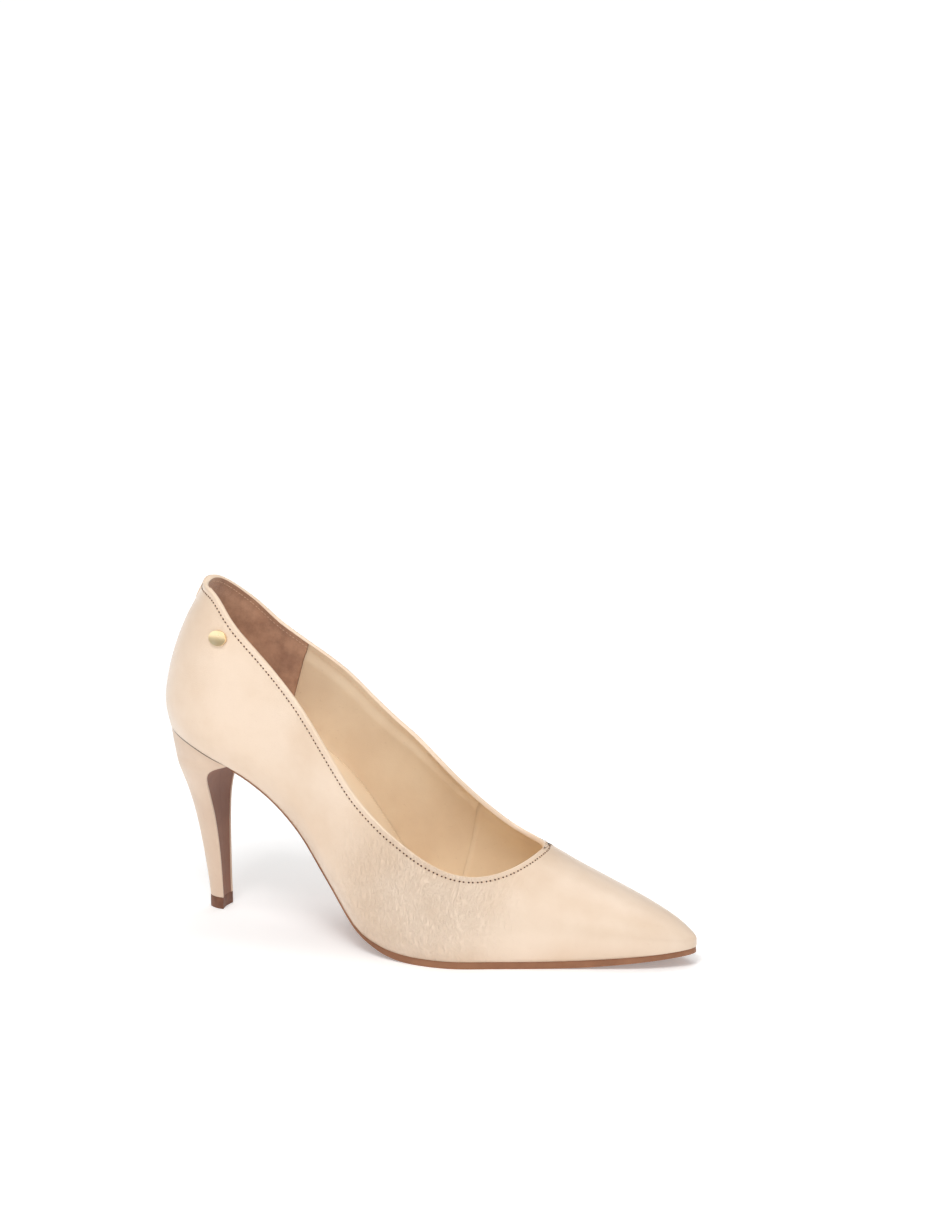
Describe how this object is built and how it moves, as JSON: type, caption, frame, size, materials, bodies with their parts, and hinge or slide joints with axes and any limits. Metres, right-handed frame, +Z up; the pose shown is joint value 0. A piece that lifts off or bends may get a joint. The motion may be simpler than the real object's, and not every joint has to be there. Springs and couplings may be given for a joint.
{
  "type": "high heel pump",
  "caption": "Pointed closed-toe pump for the right foot in beige leather, with a slim covered high heel, suede heel grip and a thin brown sole.",
  "frame": {"origin": "middle of the footprint on the floor, under the middle of the shoe's bounding box", "axes": "+X towards the toe, +Y to the inner side of the foot, +Z up"},
  "size_m": [0.2394, 0.085, 0.1485],
  "materials": {
    "upper": "smooth beige leather with a fine grain and a soft sheen",
    "heel_leather": "beige leather stretched over the heel",
    "badge": "polished pale gold plating",
    "stiffener": "thermoplastic coated fibre sheet, not seen",
    "tape": "white nylon reinforcing tape, not seen",
    "backer": "woven cotton backing, not seen",
    "suede": "brown suede with a short nap",
    "lining": "smooth tan lining leather",
    "board": "pressed fibre insole board",
    "foam": "latex foam sheet, not seen",
    "sock": "smooth sand coloured sock leather",
    "shank_steel": "tempered steel strip",
    "fixing_steel": "zinc plated steel",
    "filler": "grey felt",
    "outsole": "satin brown resin rubber sheet",
    "heel_plastic": "moulded plastic",
    "breast": "taupe brown covering",
    "top_lift": "dense brown polyurethane"
  },
  "bodies": {
    "root": {"vamp_and_outer_quarter": "upper", "inner_quarter": "upper", "back_tab": "upper", "heel_cover": "heel_leather", "side_badge": "badge", "heel_counter": "stiffener", "toe_puff": "stiffener", "topline_tape": "tape", "vamp_backer": "backer", "heel_grip_lining": "suede", "outer_quarter_lining": "lining", "inner_quarter_lining": "lining", "vamp_lining": "lining", "insole_board": "board", "insole_foam": "foam", "sock_liner": "sock", "shank": "shank_steel", "shank_rivet_1": "fixing_steel", "shank_rivet_2": "fixing_steel", "forepart_filler": "filler", "outsole": "outsole", "heel_core": "heel_plastic", "breast_cover": "breast", "heel_tube": "fixing_steel", "top_lift_pin": "fixing_steel", "top_lift": "top_lift", "heel_nail_1": "fixing_steel", "heel_nail_2": "fixing_steel", "heel_nail_3": "fixing_steel", "heel_nail_4": "fixing_steel", "heel_screw": "fixing_steel"}
  },
  "joints": []
}
